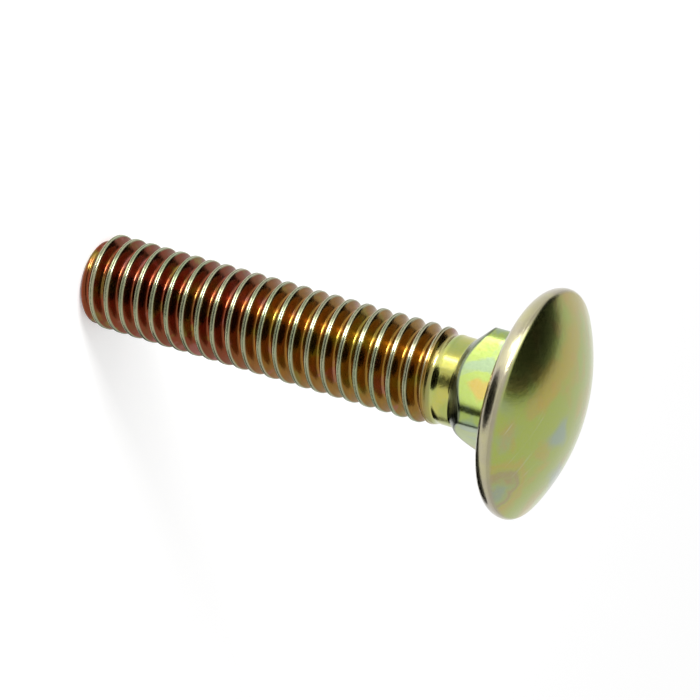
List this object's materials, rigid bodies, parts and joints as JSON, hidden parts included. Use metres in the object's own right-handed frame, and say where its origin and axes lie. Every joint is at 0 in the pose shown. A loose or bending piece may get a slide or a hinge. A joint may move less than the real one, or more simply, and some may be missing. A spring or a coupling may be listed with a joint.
{
  "type": "carriage bolt",
  "caption": "Carriage bolt with a low domed round head, a short square neck and a fully threaded shank, in steel with an iridescent yellow zinc finish.",
  "frame": {"origin": "the middle of the flat end of the tip, on which the bolt stands", "axes": "+Z along the bolt's axis, from the tip up to the head; X and Y square to the flats of the neck"},
  "size_m": [0.0178, 0.0178, 0.0419],
  "materials": {
    "plated_steel": "glossy yellow zinc chromate over steel, iridescent: yellow-green, with orange, red-brown and blue-green patches"
  },
  "bodies": {
    "root": {"carriage_bolt": "plated_steel"}
  },
  "joints": []
}
